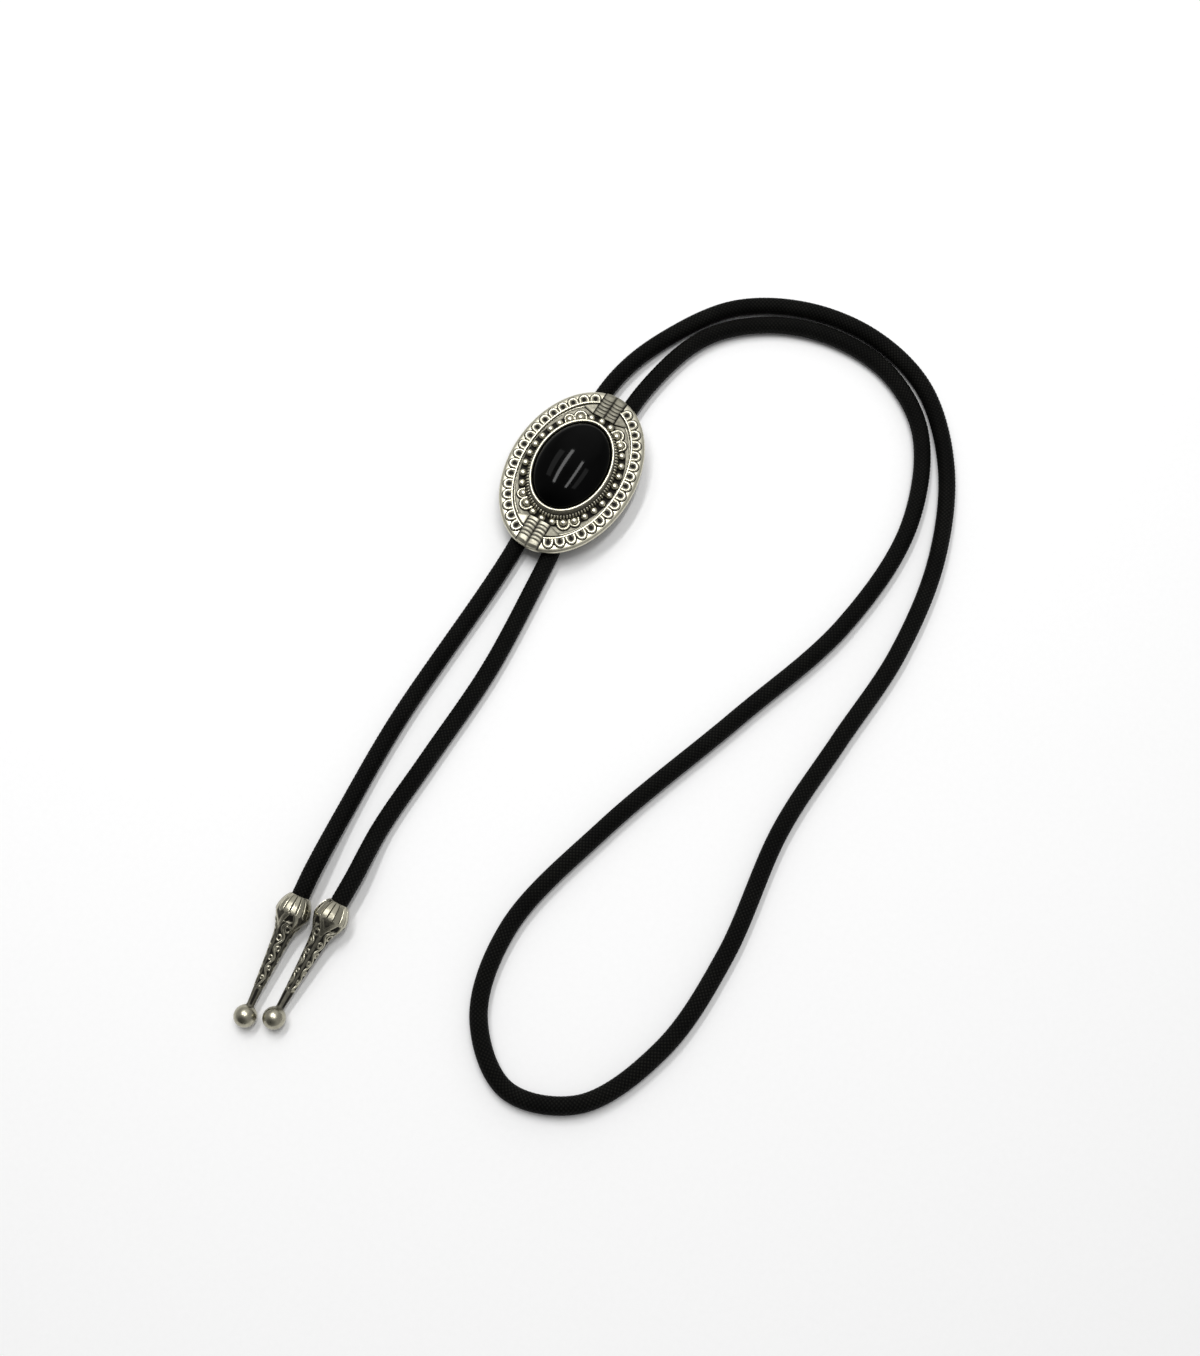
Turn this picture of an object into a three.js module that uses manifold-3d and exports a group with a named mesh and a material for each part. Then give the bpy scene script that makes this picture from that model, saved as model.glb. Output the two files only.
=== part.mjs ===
// A bolo tie: an oval cast slide with a domed black stone, one long braided cord
// that runs twice through the clasp on the slide's back, and a cast metal tip on
// each end of the cord. It lies on a flat surface.
//
// Millimetres, +Z up. The origin is the middle of the clasp's flat back, on the
// surface. +Y runs along the slide's long axis towards the neck loop.

import * as THREE from 'three';
import { mergeVertices } from 'three/addons/utils/BufferGeometryUtils.js';
import Module from 'manifold-3d';

const wasm = await Module();
wasm.setup();

// Clearances
const fitGap = 0.3;
const channelClearance = 0.5;
const surfaceGap = 0.1;
const sliver = 0.004;

// Cord
const cordDiameter = 4.6;
const cordSides = 10;
const cordSteps = 80;

// Clasp on the back of the slide
const claspLength = 12;
const claspWall = 0.9;
const channelSpacing = 8.5;
const channelSides = 16;

// Stone
const stoneWidth = 19.2;
const stoneLength = 26.6;
const stoneSide = 1.2;
const stoneDome = 4.4;
const stoneSides = 48;

// Slide: the oval plate, its rim and the wall that holds the stone
const slideWidth = 35.2;
const slideLength = 50;
const slideSides = 48;
const plateWall = 1.5;
const fieldSink = 1;
const rimDrop = 1.4;
const rimHeight = 1.5;
const rimWidth = 1.05;
const rimGroove = 0.2;
const bezelWall = 0.6;
const bezelHeight = 2.8;
const lipOverhang = 0.25;
const footWidth = 0.9;
const footHeight = 0.9;

// Slide: raised ornament
const ringWidth = 0.7;
const ringHeight = 0.8;
const scallopsPerSide = 17;
const scallopHalfWidth = 1.42;
const scallopDepth = 2.3;
const scallopHeight = 0.55;
const wireWidth = 0.55;
const beadCount = 30;
const beadRadius = 0.95;
const beadHeight = 0.35;
const beadSides = 10;
const beadSpace = 0.05;
const largeArchHalfWidth = 1.75;
const smallArchHalfWidth = 1.45;
const archDepth = 1.9;
const archHeight = 0.6;
const barHalfWidth = 3.2;
const barHeight = 0.6;
const barLobe = 0.5;
const barFall = 0.9;
const barFoot = 0.9;
const barEdgeInset = 0.35;
const ridgeCount = 6;
const ridgePitch = 0.88;
const ridgeHeight = 0.22;
const sidePlateWidth = 3.1;
const sidePlateHeight = 0.45;

// Tips
const tipLength = 35;
const tipMouthRadius = 2.55;
const tipCollarRadius = 4.55;
const tipBallRadius = 2.9;
const tipNeckRadius = 1.05;
const tipCollarPlace = 4.6;
const fluteCount = 12;
const fluteDepth = 0.16;
const panelCount = 4;
const panelDepth = 0.1;

// Heights that follow from the sizes above
const cordRadius = cordDiameter / 2;
const channelRadius = cordRadius + channelClearance;
const channelHeight = claspWall + channelRadius;
const claspHeight = 2 * channelHeight;
const claspWidth = channelSpacing + 2 * (channelRadius + claspWall);
const backHeight = claspHeight + fitGap;
const stoneSeat = backHeight + plateWall;
const fieldHeight = stoneSeat - fieldSink;
const rimBottom = backHeight - rimDrop;
const rimTop = rimBottom + rimHeight;
const bezelTop = stoneSeat + bezelHeight;

// Ovals, as half sizes: width across X and length along Y
const oval = (across, along) => ({ across, along });
const grow = (base, by) => oval(base.across + by, base.along + by);
const outlineOval = oval(slideWidth / 2, slideLength / 2);
const stoneOval = oval(stoneWidth / 2, stoneLength / 2);
const bezelInside = grow(stoneOval, fitGap);
const bezelOutside = grow(bezelInside, bezelWall);
const footOval = grow(bezelOutside, footWidth);
const beadOval = grow(footOval, beadRadius + beadSpace);
const scallopFoot = grow(outlineOval, -rimWidth - scallopDepth);
const ringInside = grow(scallopFoot, -ringWidth);
const centre = oval(0, 0);

// Each tip lies on its collar and its ball, so its axis dips towards the ball.
const tipBallPlace = tipLength - tipBallRadius;
const tipSpan = tipBallPlace - tipCollarPlace;
const tipDip = Math.acos(tipBallRadius / Math.hypot(tipCollarRadius, tipSpan))
  - Math.atan(tipSpan / tipCollarRadius);
const mouthHeight = tipCollarRadius * Math.cos(tipDip) + tipCollarPlace * Math.sin(tipDip) + surfaceGap;

// The cord's route, chosen by hand: x, y and the height of its middle. It starts
// at one tip, passes the clasp, goes round the neck loop, passes the clasp again
// and ends at the other tip.
const lying = cordRadius + surfaceGap;
const cordRoute = [
  [-1.9, -132.6, mouthHeight],
  [-2.7, -126, mouthHeight],
  [-4.3, -108, lying + 0.4],
  [-5.3, -82, lying + 0.1],
  [-3.2, -29, lying + 0.3],
  [-4.25, 0, channelHeight],
  [-4.4, 32, lying + 0.2],
  [2, 50.3, lying],
  [14, 67.5, lying],
  [31.8, 77, lying],
  [51.9, 78.8, lying],
  [70.9, 72.2, lying],
  [86.8, 54.5, lying],
  [96.8, 29, lying],
  [99.8, 0, lying],
  [97.3, -29, lying],
  [95.2, -57, lying],
  [98.2, -92, lying],
  [95.6, -120, lying],
  [84.5, -141.5, lying],
  [67, -147.5, lying],
  [52.3, -136, lying],
  [47.4, -113.5, lying],
  [55.8, -79, lying],
  [71.2, -37, lying],
  [83.8, 0, lying],
  [86, 34, lying],
  [76.2, 59.7, lying],
  [60.4, 71.2, lying],
  [42.2, 73.3, lying],
  [24.9, 67.9, lying],
  [11.2, 55.6, lying],
  [4.4, 34, lying + 0.2],
  [4.25, 0, channelHeight],
  [6.6, -29, lying + 0.3],
  [8.3, -58, lying],
  [7, -86, lying],
  [6, -108, lying + 0.4],
  [7.3, -122.5, mouthHeight],
  [7.5, -129.2, mouthHeight],
];

// Drop what joining and cutting doesn't need, close the seams and turn faces out.
function closeMesh(geometry, seam = 1e-4) {
  const bare = geometry.clone();
  bare.deleteAttribute('normal');
  bare.deleteAttribute('uv');
  const merged = mergeVertices(bare, seam);
  const position = merged.getAttribute('position');
  const corner = [new THREE.Vector3(), new THREE.Vector3(), new THREE.Vector3()];
  const triangles = [];
  let volume = 0;
  for (let i = 0; i < merged.index.count; i += 3) {
    const ids = [0, 1, 2].map((k) => merged.index.getX(i + k));
    if (new Set(ids).size < 3) continue;
    ids.forEach((id, k) => corner[k].fromBufferAttribute(position, id));
    volume += corner[0].dot(corner[1].clone().cross(corner[2]));
    triangles.push(ids);
  }
  const outward = volume < 0 ? triangles.map(([a, b, c]) => [a, c, b]) : triangles;
  merged.setIndex(outward.flat());
  return merged;
}

function toSolid(geometry) {
  const closed = closeMesh(geometry);
  return new wasm.Manifold(new wasm.Mesh({
    numProp: 3,
    vertProperties: new Float32Array(closed.getAttribute('position').array),
    triVerts: new Uint32Array(closed.index.array),
  }));
}

// Joining leaves a few slivers, which close up where their corners meet.
function toGeometry(solid) {
  const mesh = solid.getMesh();
  const geometry = new THREE.BufferGeometry();
  geometry.setAttribute('position', new THREE.BufferAttribute(mesh.vertProperties, 3));
  geometry.setIndex(new THREE.BufferAttribute(mesh.triVerts, 1));
  return closeMesh(geometry, sliver);
}

const join = (base, geometries) => geometries.reduce((solid, piece) => solid.add(toSolid(piece)), base);

// A body of stacked ovals. Each row is [oval, height]; the first and last rows
// are on the middle line.
function ovalBody(rows, sides) {
  const profile = rows.map(([row, height]) => new THREE.Vector2(row.across, height));
  const geometry = new THREE.LatheGeometry(profile, sides);
  geometry.rotateX(Math.PI / 2);
  const position = geometry.getAttribute('position');
  for (let i = 0; i < position.count; i += 1) {
    const row = rows[i % rows.length][0];
    const stretch = row.across > 0 ? row.along / row.across : 1;
    position.setY(i, position.getY(i) * stretch);
  }
  return closeMesh(geometry);
}

// An oval line to space things along, from its top end round by +X.
const ovalLine = (base) => new THREE.EllipseCurve(
  0, 0, base.across, base.along, Math.PI / 2, -1.5 * Math.PI, true,
);

// Move a shape drawn round its own origin, with +Y outwards, to a share of an oval line.
function placeOnOval(geometry, line, share, height) {
  const point = line.getPointAt(share);
  const tangent = line.getTangentAt(share);
  const outwards = Math.atan2(tangent.x, -tangent.y);
  geometry.rotateZ(outwards - Math.PI / 2);
  geometry.translate(point.x, point.y, height);
  return geometry;
}

// A flat wire bent into a U, open towards -Y.
function archBand(halfWidth, depth, height) {
  const arcPlace = depth - halfWidth;
  const innerHalf = halfWidth - wireWidth;
  const shape = new THREE.Shape();
  shape.moveTo(-halfWidth, 0);
  shape.lineTo(-halfWidth, arcPlace);
  shape.absarc(0, arcPlace, halfWidth, Math.PI, 0, true);
  shape.lineTo(halfWidth, 0);
  shape.lineTo(innerHalf, 0);
  shape.lineTo(innerHalf, arcPlace);
  shape.absarc(0, arcPlace, innerHalf, 0, Math.PI, false);
  shape.lineTo(-innerHalf, 0);
  shape.closePath();
  return new THREE.ExtrudeGeometry(shape, { depth: height, bevelEnabled: false, curveSegments: 2 });
}

function plateBody() {
  const rimInside = grow(outlineOval, -rimWidth);
  const ringSlope = ringWidth * 0.2;
  return ovalBody([
    [centre, backHeight],
    [footOval, backHeight],
    [grow(outlineOval, -rimWidth * 1.4), rimBottom],
    [grow(outlineOval, -rimWidth * 0.5), rimBottom],
    [outlineOval, rimBottom + rimHeight * 0.3],
    [grow(outlineOval, -rimWidth * 0.15), rimBottom + rimHeight * 0.75],
    [grow(outlineOval, -rimWidth * 0.5), rimTop],
    [rimInside, rimTop],
    [grow(rimInside, -rimGroove), rimTop - rimGroove],
    [grow(scallopFoot, ringSlope), fieldHeight],
    [grow(scallopFoot, -ringSlope), fieldHeight + ringHeight],
    [grow(ringInside, ringSlope), fieldHeight + ringHeight],
    [grow(ringInside, -ringSlope), fieldHeight],
    [footOval, fieldHeight],
    [grow(footOval, -footWidth * 0.2), fieldHeight + footHeight],
    [bezelOutside, fieldHeight + footHeight * 1.5],
    [bezelOutside, bezelTop - bezelWall * 0.5],
    [grow(bezelOutside, -bezelWall * 0.3), bezelTop],
    [grow(bezelInside, -lipOverhang * 0.6), bezelTop],
    [grow(bezelInside, -lipOverhang), bezelTop - bezelWall * 0.6],
    [bezelInside, bezelTop - bezelWall * 1.2],
    [bezelInside, stoneSeat],
    [centre, stoneSeat],
  ], slideSides);
}

// U-shaped scallops along both sides, between the two end bars
function scallops() {
  const line = ovalLine(scallopFoot);
  const length = line.getLength();
  const pitch = (length / 2 - 2 * barHalfWidth) / scallopsPerSide;
  const sunk = ringHeight;
  const pieces = [];
  for (let side = 0; side < 2; side += 1) {
    for (let i = 0; i < scallopsPerSide; i += 1) {
      const share = side / 2 + (barHalfWidth + pitch * (i + 0.5)) / length;
      const band = archBand(scallopHalfWidth, scallopDepth, scallopHeight + sunk);
      pieces.push(placeOnOval(band, line, share, fieldHeight - sunk));
    }
  }
  return pieces;
}

// A bead's profile: a low dome on a short stem, in shares of the bead's radius
const beadShape = [
  { out: 0, up: -1 },
  { out: 0.95, up: -1 },
  { out: 1, up: 0 },
  { out: 0.68, up: 0.74 },
  { out: 0, up: 1 },
];

function beads() {
  const line = ovalLine(beadOval);
  const profile = beadShape.map(({ out, up }) => new THREE.Vector2(beadRadius * out, beadRadius * up));
  return Array.from({ length: beadCount }, (_, i) => {
    const bead = new THREE.LatheGeometry(profile, beadSides);
    bead.rotateX(Math.PI / 2);
    return placeOnOval(bead, line, i / beadCount, fieldHeight + beadHeight);
  });
}

// Two wire arches round the second and third bead on each side of each end
function beadArches() {
  const line = ovalLine(beadOval);
  const sunk = archHeight;
  const pieces = [];
  for (const end of [0, beadCount / 2, beadCount]) {
    for (const [step, halfWidth] of [[2, largeArchHalfWidth], [3, smallArchHalfWidth]]) {
      for (const bead of [end - step, end + step]) {
        if (bead < 0 || bead > beadCount) continue;
        const band = archBand(halfWidth, archDepth, archHeight + sunk);
        pieces.push(placeOnOval(band, line, bead / beadCount, fieldHeight - sunk));
      }
    }
  }
  return pieces;
}

// A closed body through rings of points, each with as many points as the next
function loft(rings) {
  const size = rings[0].length;
  const faces = [];
  for (let row = 0; row + 1 < rings.length; row += 1) {
    for (let i = 0; i < size; i += 1) {
      const a = row * size + i;
      const b = row * size + ((i + 1) % size);
      faces.push(a, b, b + size, a, b + size, a + size);
    }
  }
  const last = (rings.length - 1) * size;
  for (let i = 1; i + 1 < size; i += 1) {
    faces.push(0, i + 1, i, last, last + i, last + i + 1);
  }
  const geometry = new THREE.BufferGeometry().setFromPoints(rings.flat());
  geometry.setIndex(faces);
  return geometry;
}

// The end bar's section: two round lobes side by side. across is a share of the
// bar's half width, and up a share of the lobe's height.
const lobeShape = [
  { across: -1, up: -1 },
  { across: -1, up: 0 },
  { across: -0.75, up: 0.8 },
  { across: -0.5, up: 1 },
  { across: -0.25, up: 0.8 },
  { across: 0, up: 0.1 },
  { across: 0.25, up: 0.8 },
  { across: 0.5, up: 1 },
  { across: 0.75, up: 0.8 },
  { across: 1, up: 0 },
  { across: 1, up: -1 },
];

// A wrapped bar at each end of the long axis, from the beads out to the rim. Its
// lobes rise and sink in ridges between two plain ends.
function endBars() {
  const start = beadOval.along + beadRadius + beadSpace;
  const end = slideLength / 2 - barEdgeInset;
  const ridgeStart = (start + end - ridgePitch * ridgeCount) / 2;
  const rows = [[start, 0], [ridgeStart, 0]];
  for (let i = 0; i < ridgeCount; i += 1) {
    rows.push([ridgeStart + ridgePitch * (i + 0.5), ridgeHeight]);
    rows.push([ridgeStart + ridgePitch * (i + 1), 0]);
  }
  rows.push([end, 0]);
  return [-1, 1].map((side) => loft(rows.map(([place, extra]) => {
    const base = fieldHeight + barHeight - (barFall * (place - start)) / (end - start);
    return lobeShape.map(({ across, up }) => new THREE.Vector3(
      side * across * barHalfWidth,
      side * place,
      up < 0 ? fieldHeight - barFoot : base + up * (barLobe + extra),
    ));
  })));
}

// Plain three-sided plates beside each end bar, inside the ring
function sidePlates() {
  const ringEdge = (x) => ringInside.along * Math.sqrt(1 - (x / ringInside.across) ** 2);
  const reach = barHalfWidth + sidePlateWidth;
  const middle = (barHalfWidth + reach) / 2;
  const inner = beadOval.along + beadRadius + beadSpace;
  const pieces = [];
  for (const across of [-1, 1]) {
    for (const along of [-1, 1]) {
      const corners = [
        [barHalfWidth - wireWidth, inner],
        [barHalfWidth - wireWidth, ringEdge(barHalfWidth)],
        [middle, ringEdge(middle)],
        [reach, ringEdge(reach)],
      ].map(([x, y]) => new THREE.Vector2(x * across, y * along));
      const plate = new THREE.ExtrudeGeometry(new THREE.Shape(corners), {
        depth: 2 * sidePlateHeight,
        bevelEnabled: false,
      });
      plate.translate(0, 0, fieldHeight - sidePlateHeight);
      pieces.push(plate);
    }
  }
  return pieces;
}

// The ornament stands on the plate; none of it may fill the stone's seat.
function slidePlate() {
  const seatTop = bezelTop + stoneDome;
  const seatCut = ovalBody([
    [centre, stoneSeat],
    [bezelInside, stoneSeat],
    [bezelInside, seatTop],
    [centre, seatTop],
  ], slideSides);
  const ornament = [...scallops(), ...beads(), ...beadArches(), ...endBars(), ...sidePlates()];
  const [first, ...rest] = ornament;
  const relief = join(toSolid(first), rest).subtract(toSolid(seatCut));
  return toGeometry(toSolid(plateBody()).add(relief));
}

function stone() {
  const bottom = stoneSeat + fitGap;
  const girdle = bottom + stoneSide;
  const domeRows = 7;
  const rows = [
    [centre, bottom],
    [grow(stoneOval, -fitGap), bottom],
    [stoneOval, bottom + fitGap],
  ];
  for (let i = 0; i < domeRows; i += 1) {
    const angle = (Math.PI / 2) * (i / domeRows);
    const share = Math.cos(angle);
    rows.push([oval(stoneOval.across * share, stoneOval.along * share), girdle + stoneDome * Math.sin(angle)]);
  }
  rows.push([centre, girdle + stoneDome]);
  return ovalBody(rows, stoneSides);
}

function clasp() {
  const block = new THREE.BoxGeometry(claspWidth, claspLength, claspHeight);
  block.translate(0, 0, claspHeight / 2);
  return toGeometry([-1, 1].reduce((solid, side) => {
    const channel = new THREE.CylinderGeometry(channelRadius, channelRadius, 2 * claspLength, channelSides);
    channel.translate(side * channelSpacing / 2, 0, channelHeight);
    return solid.subtract(toSolid(channel));
  }, toSolid(block)));
}

function cord() {
  const path = new THREE.CatmullRomCurve3(
    cordRoute.map(([x, y, z]) => new THREE.Vector3(x, y, z)), false, 'centripetal',
  );
  const section = Array.from({ length: cordSides }, (_, i) => {
    const angle = (2 * Math.PI * i) / cordSides;
    return new THREE.Vector2(cordRadius * Math.cos(angle), cordRadius * Math.sin(angle));
  });
  return closeMesh(new THREE.ExtrudeGeometry(new THREE.Shape(section), {
    steps: cordSteps,
    extrudePath: path,
    bevelEnabled: false,
  }));
}

// The tip's rows. along: share of the stretch it is in; out: share of the named
// radius; flute and panel: how strongly the row carries each.
const collarRows = [
  { along: 0, out: 0, flute: 0 },
  { along: 0.1, out: 0.12, flute: 0.4 },
  { along: 0.5, out: 0.6, flute: 1 },
  { along: 1, out: 1, flute: 1 },
];
const shaftRows = [
  { along: 0.03, out: 0.93, panel: 0 },
  { along: 0.09, out: 0.68, panel: 0 },
  { along: 0.14, out: 0.47, panel: 0 },
  { along: 0.2, out: 0.37, panel: 0.5 },
  { along: 0.4, out: 0.27, panel: 1 },
  { along: 0.65, out: 0.14, panel: 1 },
  { along: 0.88, out: 0.03, panel: 0.5 },
  { along: 0.96, out: 0, panel: 0 },
];
const ballAngles = [35, 65, 95, 125, 155];

// A cast tip, drawn down from its mouth along -Y
function tip() {
  const rows = [{ place: 0, radius: 0 }];
  for (const { along, out, flute } of collarRows) {
    rows.push({
      place: tipCollarPlace * along,
      radius: tipMouthRadius + (tipCollarRadius - tipMouthRadius) * out,
      flute,
    });
  }
  const neckPlace = tipBallPlace - Math.sqrt(tipBallRadius ** 2 - tipNeckRadius ** 2);
  for (const { along, out, panel } of shaftRows) {
    rows.push({
      place: tipCollarPlace + (neckPlace - tipCollarPlace) * along,
      radius: tipNeckRadius + (tipCollarRadius - tipNeckRadius) * out,
      panel,
    });
  }
  for (const degrees of ballAngles) {
    const angle = THREE.MathUtils.degToRad(degrees);
    rows.push({
      place: tipBallPlace - tipBallRadius * Math.cos(angle),
      radius: tipBallRadius * Math.sin(angle),
    });
  }
  rows.push({ place: tipLength, radius: 0 });

  const profile = rows.map(({ place, radius }) => new THREE.Vector2(radius, -place));
  const geometry = new THREE.LatheGeometry(profile, 2 * fluteCount);
  const position = geometry.getAttribute('position');
  for (let i = 0; i < position.count; i += 1) {
    const { radius, flute = 0, panel = 0 } = rows[i % rows.length];
    if (radius > 0) {
      const angle = (Math.PI * Math.floor(i / rows.length)) / fluteCount;
      const sink = fluteDepth * flute * (0.5 - 0.5 * Math.cos(fluteCount * angle))
        + panelDepth * panel * (0.5 - 0.5 * Math.cos(panelCount * angle));
      const scale = 1 - sink / radius;
      position.setX(i, position.getX(i) * scale);
      position.setZ(i, position.getZ(i) * scale);
    }
  }
  return closeMesh(geometry);
}

function metal(colour) {
  return new THREE.MeshStandardMaterial({ color: colour, roughness: 0.38, metalness: 0.9 });
}

function named(name, geometry, material) {
  const mesh = new THREE.Mesh(geometry, material);
  mesh.name = name;
  return mesh;
}

// A tip in line with the cord's last stretch, one gap past the cord's end
function placedTip(name, end, before) {
  const mesh = named(name, tip(), metal(0x6f6c62));
  mesh.rotation.x = tipDip;
  const holder = new THREE.Group();
  const run = new THREE.Vector2(end[0] - before[0], end[1] - before[1]).normalize();
  holder.position.set(end[0] + run.x * fitGap, end[1] + run.y * fitGap, mouthHeight);
  holder.rotation.z = Math.atan2(run.x, -run.y);
  holder.add(mesh);
  return holder;
}

const boloTie = new THREE.Group();
boloTie.add(
  named('slide_plate', slidePlate(), metal(0xb4b0a2)),
  named('stone', stone(), new THREE.MeshStandardMaterial({ color: 0x050505, roughness: 0.06, metalness: 0 })),
  named('clasp', clasp(), metal(0x9a978c)),
  named('cord', cord(), new THREE.MeshStandardMaterial({ color: 0x141413, roughness: 0.6, metalness: 0 })),
  placedTip('tip_left', cordRoute[0], cordRoute[1]),
  placedTip('tip_right', cordRoute.at(-1), cordRoute.at(-2)),
);

export default boloTie;
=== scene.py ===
"""A bolo tie lying on a pale floor: cast slide with a black stone, braided cord, two cast tips."""

import math

import bmesh
import bpy
from bpy.props import FloatProperty, FloatVectorProperty, IntProperty, PointerProperty
from mathutils import Matrix, Vector


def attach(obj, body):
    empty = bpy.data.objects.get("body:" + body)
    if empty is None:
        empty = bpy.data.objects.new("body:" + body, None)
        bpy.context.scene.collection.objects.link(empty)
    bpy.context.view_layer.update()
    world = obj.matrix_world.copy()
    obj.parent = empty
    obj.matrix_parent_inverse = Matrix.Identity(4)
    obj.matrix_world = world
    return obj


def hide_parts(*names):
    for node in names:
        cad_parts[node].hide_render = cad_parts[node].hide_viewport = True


bl_info = {
    "name": "Bolo tie",
    "version": (1, 0, 0),
    "blender": (4, 5, 0),
    "location": "3D View > Sidebar > Bolo tie",
    "description": "Builds a bolo tie with a cast slide, a braided cord and two cast tips",
    "category": "Object",
}

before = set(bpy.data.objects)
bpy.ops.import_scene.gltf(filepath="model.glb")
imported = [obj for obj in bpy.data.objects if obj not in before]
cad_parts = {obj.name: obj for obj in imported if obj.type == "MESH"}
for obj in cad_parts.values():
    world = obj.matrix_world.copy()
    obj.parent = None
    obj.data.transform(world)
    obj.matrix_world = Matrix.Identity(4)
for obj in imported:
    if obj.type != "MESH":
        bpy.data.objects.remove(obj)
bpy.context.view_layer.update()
BODY = "root"
MM = 0.001

# Heights and clearances of the frame, in millimetres
LYING = 2.4
CHANNEL_HEIGHT = 3.7
BACK_HEIGHT = 7.7
RIM_BOTTOM = 6.3
RIM_TOP = 7.8
FIELD_HEIGHT = 8.2
CHANNEL_FLOOR = 8.05
STONE_SEAT = 9.2
BEZEL_TOP = 12.0
STONE_BOTTOM = 9.5
STONE_GIRDLE = 10.7
STONE_TOP = 15.1
FIT_GAP = 0.3

# Ovals of the slide, as half widths and half lengths in millimetres
OUTLINE = (17.6, 25.0)
STONE_OVAL = (9.6, 13.3)
BEAD_OVAL = (12.4, 16.1)
FOOT_OVAL = (11.4, 15.1)
SCALLOP_FOOT = (14.25, 21.65)
RING_INSIDE = (13.55, 20.95)
BEAD_EDGE = (13.35, 17.05)
BAR_HALF_WIDTH = 3.2

# How bright each end bar is, by its end, and each side plate, by its side and end: painted light and shade,
# the same casting made lighter or darker by where it lies
BAR_PAINTED_LIGHT = [(-1, 0.95), (1, 0.66)]
PLATE_PAINTED_LIGHT = [(-1, -1, 0.66), (1, -1, 0.42), (-1, 1, 0.46), (1, 1, 0.36)]

# Tip, in millimetres
TIP_COLLAR_PLACE = 4.6
TIP_COLLAR_RADIUS = 4.55
TIP_BALL_RADIUS = 2.9
TIP_BALL_PLACE = 32.1
TIP_NECK_RADIUS = 1.05
TIP_SPAN = TIP_BALL_PLACE - TIP_COLLAR_PLACE
TIP_DIP = math.acos(TIP_BALL_RADIUS / math.hypot(TIP_COLLAR_RADIUS, TIP_SPAN)) - math.atan(
    TIP_SPAN / TIP_COLLAR_RADIUS
)
MOUTH_HEIGHT = TIP_COLLAR_RADIUS * math.cos(TIP_DIP) + TIP_COLLAR_PLACE * math.sin(TIP_DIP) + 0.1

# The tip's outside radius along its axis, from the mouth, in millimetres
TIP_PROFILE = [
    (0.0, 2.6),
    (0.5, 3.08),
    (1.3, 3.62),
    (2.3, 4.08),
    (3.4, 4.42),
    (4.6, 4.54),
    (5.6, 4.36),
    (6.8, 3.8),
    (8.0, 3.15),
    (9.4, 2.62),
    (11.5, 2.3),
    (14.5, 2.02),
    (20.7, 1.55),
    (26.4, 1.17),
    (28.2, 1.06),
    (29.4, 1.05),
]

# The middle of the cord from one tip through the clasp, round the neck loop,
# back through the clasp and to the other tip, in millimetres
CORD_ROUTE = [
    (-1.9, -132.6, MOUTH_HEIGHT),
    (-2.7, -126, MOUTH_HEIGHT),
    (-4.3, -108, LYING + 0.4),
    (-5.3, -82, LYING + 0.1),
    (-3.2, -29, LYING + 0.3),
    (-4.25, 0, CHANNEL_HEIGHT),
    (-4.4, 32, LYING + 0.2),
    (2, 50.3, LYING),
    (14, 67.5, LYING),
    (31.8, 77, LYING),
    (51.9, 78.8, LYING),
    (70.9, 72.2, LYING),
    (86.8, 54.5, LYING),
    (96.8, 29, LYING),
    (99.8, 0, LYING),
    (97.3, -29, LYING),
    (95.2, -57, LYING),
    (98.2, -92, LYING),
    (95.6, -120, LYING),
    (84.5, -141.5, LYING),
    (67, -147.5, LYING),
    (52.3, -136, LYING),
    (47.4, -113.5, LYING),
    (55.8, -79, LYING),
    (71.2, -37, LYING),
    (83.8, 0, LYING),
    (86, 34, LYING),
    (76.2, 59.7, LYING),
    (60.4, 71.2, LYING),
    (42.2, 73.3, LYING),
    (24.9, 67.9, LYING),
    (11.2, 55.6, LYING),
    (4.4, 34, LYING + 0.2),
    (4.25, 0, CHANNEL_HEIGHT),
    (6.6, -29, LYING + 0.3),
    (8.3, -58, LYING),
    (7, -86, LYING),
    (6, -108, LYING + 0.4),
    (7.3, -122.5, MOUTH_HEIGHT),
    (7.5, -129.2, MOUTH_HEIGHT),
]


# Each light's name, place and size in metres, and the setting of its brightness
LIGHTS = [
    ("left_strip", (-0.29, 0.15, 0.8), (0.07, 0.53), "strip_light"),
    ("right_strip", (0.05, 0.107, 0.8), (0.055, 0.43), "strip_light"),
    ("left_softbox", (-0.52, 0.16, 0.74), (0.16, 0.42), "soft_light"),
    ("right_softbox", (0.25, 0.1, 0.8), (0.12, 0.36), "soft_light"),
]

# Directions from the tie to the room's darker near side and to its window
NEAR_SIDE = (0.0, -0.86, 0.5)
WINDOW = (-0.22, 0.72, 0.66)
FLOOR_REACH = 3.0

# The camera and the point that it looks at, in millimetres
CAMERA_PLACE = (86.23, -134.32, 386.37)
CAMERA_TARGET = (34.47, -44.66, 0.0)


# Settings


def size_setting(name, description, default):
    """A length that a user may change, in metres."""
    return FloatProperty(name=name, description=description, default=default, unit="LENGTH", precision=5)


def colour_setting(name, description, default):
    """A colour that a user may change."""
    return FloatVectorProperty(
        name=name, description=description, default=default, subtype="COLOR", size=3, min=0, max=1
    )


class CordSettings(bpy.types.PropertyGroup):
    """Size and colour of the braided cord"""

    diameter: size_setting("Diameter", "Thickness of the cord", 0.0046)
    strands: IntProperty(
        name="Strands each way", description="Strands that wind round each way", default=12, min=4
    )
    pick: size_setting("Pick length", "Length of one crossing of the braid", 0.00113)
    relief: size_setting("Relief", "How far a strand stands out", 0.00018)
    yarn: colour_setting("Yarn", "Colour of the yarn", (0.0016, 0.0016, 0.0014))
    # Lit yarn is the painted highlight colour on the strands' crowns
    lit_yarn: colour_setting("Lit yarn", "Colour of the yarn on a strand's crown", (0.017, 0.017, 0.014))


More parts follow.
